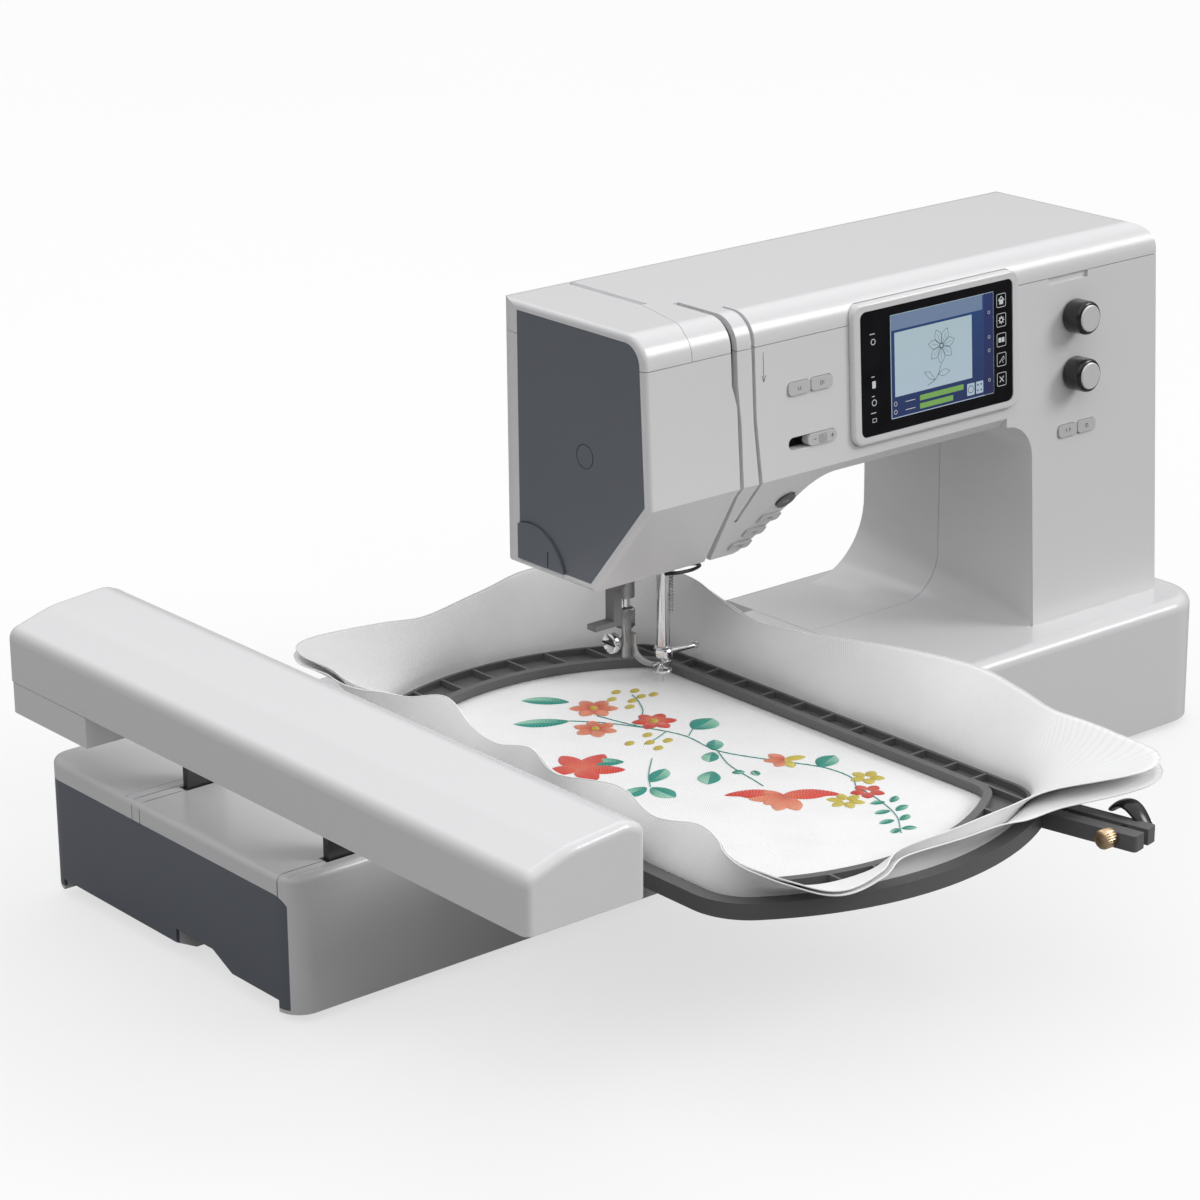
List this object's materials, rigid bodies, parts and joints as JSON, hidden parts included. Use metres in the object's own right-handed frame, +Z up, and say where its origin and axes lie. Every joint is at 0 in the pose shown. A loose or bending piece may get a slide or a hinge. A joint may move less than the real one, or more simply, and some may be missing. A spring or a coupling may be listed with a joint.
{
  "type": "embroidery machine",
  "caption": "Computer embroidery machine: a C-shaped sewing head with touch screen and knobs, and a module whose arm carries a hooped cloth under the needle.",
  "frame": {"origin": "on the table under the needle's axis, at the middle of the foot below the needle", "axes": "+X from the head to the pillar, +Y to the back, +Z up from the table"},
  "size_m": [0.6689, 0.4783, 0.297],
  "materials": {
    "white_casing": "glossy off-white moulded plastic",
    "bezel_white": "glossy pale grey frame",
    "dark_panel": "satin blue-black plastic",
    "pale_keys": "satin pale grey keys",
    "grey_key": "satin dark grey key",
    "screen_glass": "black glass with a lit display behind it",
    "black_plastic": "satin black",
    "black_moulding": "satin black moulding",
    "silver_cap": "satin silver-white",
    "bright_steel": "polished",
    "cast_frame": "cast, dull",
    "hoop_grey": "satin mid-grey moulding",
    "brass": "knurled",
    "cloth": "white twill with stitched flowers",
    "board_green": "coated circuit board",
    "rubber": "matte",
    "clear_plastic": "clear moulded plastic"
  },
  "bodies": {
    "machine": {"base_pan": "dark_panel", "rubber_feet": "rubber", "front_casing": "white_casing", "rear_casing": "white_casing", "head_front_cover": "white_casing", "head_top_cover": "white_casing", "face_cover": "dark_panel", "thread_cutter": "dark_panel", "arm_frame": "cast_frame", "free_arm_cover": "white_casing", "needle_plate": "bright_steel", "screen_bezel": "bezel_white", "touch_screen": "screen_glass", "circuit_board": "board_green", "timing_belt": "black_plastic", "motor": "cast_frame", "power_inlet": "black_plastic", "spool_pin": "black_moulding", "bobbin_case": "black_moulding", "module_casing": "white_casing", "module_side_panel": "dark_panel", "x_drive": "bright_steel"},
    "lid": {"top_lid": "white_casing"},
    "upper_knob": {"upper_knob": "black_plastic", "upper_knob_cap": "silver_cap"},
    "lower_knob": {"lower_knob": "black_plastic", "lower_knob_cap": "silver_cap"},
    "start_stop_button": {"start_stop_button": "grey_key"},
    "reverse_button": {"reverse_button": "pale_keys"},
    "cutter_button": {"cutter_button": "pale_keys"},
    "tie_off_button": {"tie_off_button": "pale_keys"},
    "securing_button": {"securing_button": "pale_keys"},
    "pattern_end_button": {"pattern_end_button": "pale_keys"},
    "needle_button": {"needle_button": "pale_keys"},
    "foot_lift_button": {"foot_lift_button": "pale_keys"},
    "speed_slider": {"speed_slider": "pale_keys"},
    "take_up_lever": {"take_up_lever": "bright_steel"},
    "needle_bar": {"needle_bar": "bright_steel", "needle_clamp": "bright_steel", "needle": "bright_steel"},
    "presser_bar": {"presser_bar": "bright_steel", "embroidery_foot": "bright_steel", "foot_spring": "bright_steel", "foot_screw": "bright_steel"},
    "needle_threader": {"needle_threader": "bright_steel"},
    "presser_lifter": {"presser_lifter": "hoop_grey"},
    "main_shaft": {"main_shaft": "bright_steel", "handwheel": "white_casing"},
    "lower_shaft": {"lower_shaft": "bright_steel"},
    "hook": {"hook": "bright_steel"},
    "bobbin": {"bobbin": "clear_plastic"},
    "bobbin_cover": {"bobbin_cover": "clear_plastic"},
    "embroidery_arm": {"arm_cover": "white_casing", "arm_under_cover": "white_casing"},
    "hoop": {"hoop_carriage": "hoop_grey", "outer_hoop": "hoop_grey", "inner_hoop": "hoop_grey", "fabric": "cloth"},
    "clamp_screw": {"clamp_screw": "brass"},
    "clamp_lever": {"clamp_lever": "black_plastic"}
  },
  "joints": [
    {"name": "lid_hinge", "type": "hinge", "parent": "machine", "child": "lid", "pos_m": [0.1, 0.0691, 0.2826], "axis": [-1, 0, 0], "range_deg": [0, 80]},
    {"name": "upper_knob_turn", "type": "hinge", "parent": "machine", "child": "upper_knob", "pos_m": [0.255, -0.05969, 0.2552], "axis": [0, -0.9988, 0.0499], "continuous": true},
    {"name": "lower_knob_turn", "type": "hinge", "parent": "machine", "child": "lower_knob", "pos_m": [0.255, -0.06134, 0.2221], "axis": [0, -0.9988, 0.0499], "continuous": true},
    {"name": "start_stop_button_press", "type": "slide", "parent": "machine", "child": "start_stop_button", "axis": [0, 0.767, 0.6416], "range_m": [0, 0.0015], "stiffness_N_per_m": 300},
    {"name": "reverse_button_press", "type": "slide", "parent": "machine", "child": "reverse_button", "axis": [0, 0.767, 0.6416], "range_m": [0, 0.0015], "stiffness_N_per_m": 300},
    {"name": "cutter_button_press", "type": "slide", "parent": "machine", "child": "cutter_button", "axis": [0, 0.767, 0.6416], "range_m": [0, 0.0015], "stiffness_N_per_m": 300},
    {"name": "tie_off_button_press", "type": "slide", "parent": "machine", "child": "tie_off_button", "axis": [0, 0.767, 0.6416], "range_m": [0, 0.0015], "stiffness_N_per_m": 300},
    {"name": "securing_button_press", "type": "slide", "parent": "machine", "child": "securing_button", "axis": [0, 0.9988, -0.0499], "range_m": [0, 0.001], "stiffness_N_per_m": 300},
    {"name": "pattern_end_button_press", "type": "slide", "parent": "machine", "child": "pattern_end_button", "axis": [0, 0.9988, -0.0499], "range_m": [0, 0.001], "stiffness_N_per_m": 300},
    {"name": "needle_button_press", "type": "slide", "parent": "machine", "child": "needle_button", "axis": [0, 0.9988, -0.0499], "range_m": [0, 0.001], "stiffness_N_per_m": 300},
    {"name": "foot_lift_button_press", "type": "slide", "parent": "machine", "child": "foot_lift_button", "axis": [0, 0.9988, -0.0499], "range_m": [0, 0.001], "stiffness_N_per_m": 300},
    {"name": "speed_slide", "type": "slide", "parent": "machine", "child": "speed_slider", "axis": [1, 0, 0], "range_m": [-0.0128, 0]},
    {"name": "take_up_swing", "type": "hinge", "parent": "machine", "child": "take_up_lever", "pos_m": [0, -0.022, 0.232], "axis": [-1, 0, 0], "range_deg": [-4, 40]},
    {"name": "needle_bar_slide", "type": "slide", "parent": "machine", "child": "needle_bar", "axis": [0, 0, 1], "range_m": [0, 0.024], "deforming": ["fabric"]},
    {"name": "presser_lifter_swing", "type": "hinge", "parent": "machine", "child": "presser_lifter", "pos_m": [0, 0.052, 0.157], "axis": [1, 0, 0], "range_deg": [-25, 15]},
    {"name": "presser_bar_slide", "type": "slide", "parent": "machine", "child": "presser_bar", "axis": [0, 0, 1], "range_m": [-0.004, 0.0024], "deforming": ["fabric"]},
    {"name": "threader_slide", "type": "slide", "parent": "machine", "child": "needle_threader", "axis": [0, 0, -1], "range_m": [0, 0.02], "stiffness_N_per_m": 40},
    {"name": "main_shaft_turn", "type": "hinge", "parent": "machine", "child": "main_shaft", "pos_m": [0.2, 0.008, 0.238], "axis": [1, 0, 0], "continuous": true},
    {"name": "lower_shaft_turn", "type": "hinge", "parent": "machine", "child": "lower_shaft", "pos_m": [0.2, -0.002, 0.0365], "axis": [1, 0, 0], "continuous": true},
    {"name": "hook_turn", "type": "hinge", "parent": "machine", "child": "hook", "pos_m": [0, -0.02, 0.06], "axis": [0, 0, 1], "continuous": true},
    {"name": "bobbin_turn", "type": "hinge", "parent": "machine", "child": "bobbin", "pos_m": [0, -0.02, 0.06], "axis": [0, 0, 1], "continuous": true},
    {"name": "bobbin_cover_slide", "type": "slide", "parent": "machine", "child": "bobbin_cover", "axis": [0, -1, 0], "range_m": [0, 0.012]},
    {"name": "arm_travel", "type": "slide", "parent": "machine", "child": "embroidery_arm", "axis": [1, 0, 0], "range_m": [0, 0.145], "deforming": ["fabric"]},
    {"name": "hoop_travel", "type": "slide", "parent": "embroidery_arm", "child": "hoop", "axis": [0, 1, 0], "range_m": [0, 0.23], "deforming": ["fabric"]},
    {"name": "clamp_screw_turn", "type": "hinge", "parent": "hoop", "child": "clamp_screw", "pos_m": [0.02511, -0.31615, 0.0848], "axis": [0.9781, 0.2079, 0], "continuous": true},
    {"name": "clamp_lever_turn", "type": "hinge", "parent": "hoop", "child": "clamp_lever", "pos_m": [0.02511, -0.31615, 0.0848], "axis": [0.9781, 0.2079, 0], "range_deg": [-90, 0]}
  ],
  "couplings": [
    {"joint": "lower_shaft_turn", "follows": "main_shaft_turn", "ratio": 1},
    {"joint": "hook_turn", "follows": "main_shaft_turn", "ratio": -2},
    {"joint": "presser_lifter_swing", "follows": "presser_bar_slide", "rad_per_m": 109}
  ]
}
